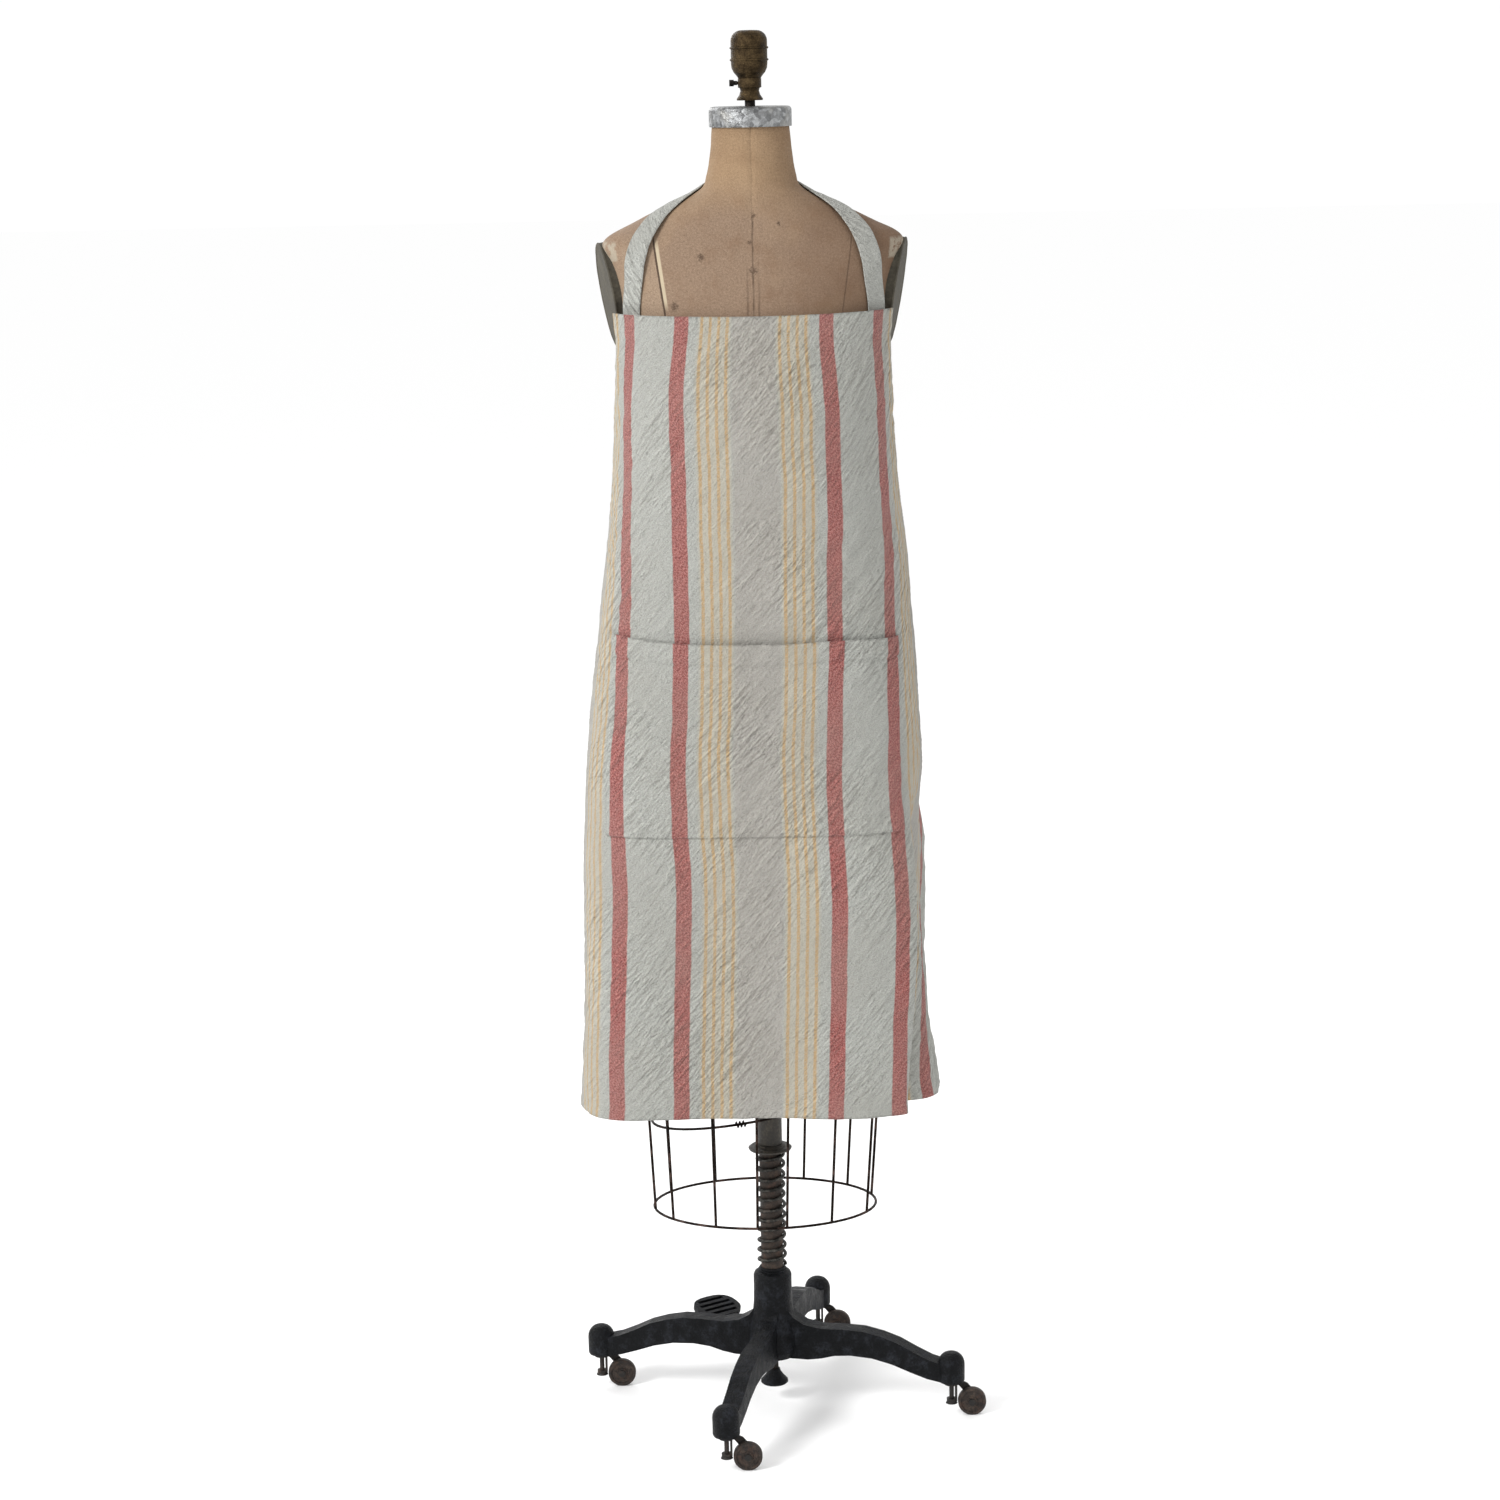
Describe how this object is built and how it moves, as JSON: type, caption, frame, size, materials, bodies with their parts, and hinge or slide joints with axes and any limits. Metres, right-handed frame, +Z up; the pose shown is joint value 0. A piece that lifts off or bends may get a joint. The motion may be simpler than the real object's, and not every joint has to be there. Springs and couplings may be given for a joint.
{
  "type": "apron on a dress form",
  "caption": "Striped bib apron with a front pocket, hanging by its neck strap on a torso dress form with a wire skirt cage and a sprung column on a castered iron stand.",
  "frame": {"origin": "on the floor under the column's axis", "axes": "+Z up along the column, the form faces -Y, +X to the right as seen from the front"},
  "size_m": [0.4717, 0.447, 1.5997],
  "materials": {
    "apron_cloth": "woven, matte, striped",
    "tie_cloth": "woven, matte",
    "canvas": "aged canvas over paper shell, matte",
    "tape": "woven tape, matte",
    "plate_paint": "worn, satin",
    "timber": "raw",
    "zinc_steel": "galvanised, spangled",
    "dark_steel": "dark, oiled",
    "wire_steel": "tarnished",
    "bronze": "dark, aged",
    "column_paint": "worn enamel",
    "spring_steel": "dull",
    "black_iron": "black enamel, satin",
    "caster_iron": "rusty",
    "wheel_rust": "rusty"
  },
  "bodies": {
    "base": {"base_casting": "black_iron", "hub_gland": "black_iron", "pedal_pin": "dark_steel", "caster_stem_right": "dark_steel", "caster_stem_back": "dark_steel", "caster_stem_left": "dark_steel", "caster_stem_front": "dark_steel"},
    "column": {"column_tube": "column_paint", "column_flange": "column_paint", "column_rod": "dark_steel", "column_spring": "spring_steel"},
    "form": {"apron_panel": "apron_cloth", "apron_pocket": "apron_cloth", "neck_strap": "tie_cloth", "waist_tie_left": "tie_cloth", "waist_tie_right": "tie_cloth", "tie_bow": "tie_cloth", "torso_shell": "canvas", "hip_band": "tape", "arm_plate_left": "plate_paint", "arm_plate_right": "plate_paint", "neck_block": "timber", "neck_cap": "zinc_steel", "neck_rod": "dark_steel", "hip_bracket": "dark_steel", "cage_ribs": "wire_steel", "cage_bottom_hoop": "wire_steel", "cage_middle_hoop": "wire_steel", "cage_upper_hoop": "wire_steel", "hoop_twist_tie": "wire_steel"},
    "finial": {"finial_shell": "bronze", "finial_socket": "bronze"},
    "thumb_screw": {"thumb_screw": "dark_steel"},
    "pedal": {"foot_pedal": "black_iron"},
    "foot": {"floor_screw": "dark_steel", "floor_foot": "black_iron"},
    "horn_right": {"caster_horn_right": "caster_iron", "caster_axle_right": "dark_steel"},
    "wheel_right": {"caster_wheel_right": "wheel_rust"},
    "horn_back": {"caster_horn_back": "caster_iron", "caster_axle_back": "dark_steel"},
    "wheel_back": {"caster_wheel_back": "wheel_rust"},
    "horn_left": {"caster_horn_left": "caster_iron", "caster_axle_left": "dark_steel"},
    "wheel_left": {"caster_wheel_left": "wheel_rust"},
    "horn_front": {"caster_horn_front": "caster_iron", "caster_axle_front": "dark_steel"},
    "wheel_front": {"caster_wheel_front": "wheel_rust"}
  },
  "joints": [
    {"name": "height_slide", "type": "slide", "parent": "base", "child": "column", "axis": [0, 0, 1], "range_m": [-0.04, 0.02], "deforming": ["column_spring"]},
    {"name": "form_turn", "type": "hinge", "parent": "column", "child": "form", "pos_m": [0, 0, 1.44], "axis": [0, 0, 1], "continuous": true},
    {"name": "finial_turn", "type": "hinge", "parent": "form", "child": "finial", "pos_m": [0, 0, 1.53], "axis": [0, 0, 1], "continuous": true},
    {"name": "thumb_screw_turn", "type": "hinge", "parent": "finial", "child": "thumb_screw", "pos_m": [-0.018, 0, 1.5425], "axis": [1, 0, 0], "continuous": true},
    {"name": "pedal_press", "type": "hinge", "parent": "base", "child": "pedal", "pos_m": [-0.02294, 0.03277, 0.088], "axis": [-0.8192, -0.5736, 0], "range_deg": [0, 12], "stiffness_Nm_per_rad": 1, "springref_deg": -17.19},
    {"name": "foot_screw", "type": "slide", "parent": "base", "child": "foot", "axis": [0, 0, 1], "range_m": [-0.02, 0.003]},
    {"name": "swivel_right", "type": "hinge", "parent": "base", "child": "horn_right", "pos_m": [0.20767, -0.05565, 0.03], "axis": [0, 0, 1], "continuous": true},
    {"name": "spin_right", "type": "hinge", "parent": "horn_right", "child": "wheel_right", "pos_m": [0.23167, -0.05565, 0.0165], "axis": [0, 1, 0], "continuous": true},
    {"name": "swivel_back", "type": "hinge", "parent": "base", "child": "horn_back", "pos_m": [0.05565, 0.20767, 0.03], "axis": [0, 0, 1], "continuous": true},
    {"name": "spin_back", "type": "hinge", "parent": "horn_back", "child": "wheel_back", "pos_m": [0.07965, 0.20767, 0.0165], "axis": [0, 1, 0], "continuous": true},
    {"name": "swivel_left", "type": "hinge", "parent": "base", "child": "horn_left", "pos_m": [-0.20767, 0.05565, 0.03], "axis": [0, 0, 1], "continuous": true},
    {"name": "spin_left", "type": "hinge", "parent": "horn_left", "child": "wheel_left", "pos_m": [-0.18367, 0.05565, 0.0165], "axis": [0, 1, 0], "continuous": true},
    {"name": "swivel_front", "type": "hinge", "parent": "base", "child": "horn_front", "pos_m": [-0.05565, -0.20767, 0.03], "axis": [0, 0, 1], "continuous": true},
    {"name": "spin_front", "type": "hinge", "parent": "horn_front", "child": "wheel_front", "pos_m": [-0.03165, -0.20767, 0.0165], "axis": [0, 1, 0], "continuous": true}
  ]
}
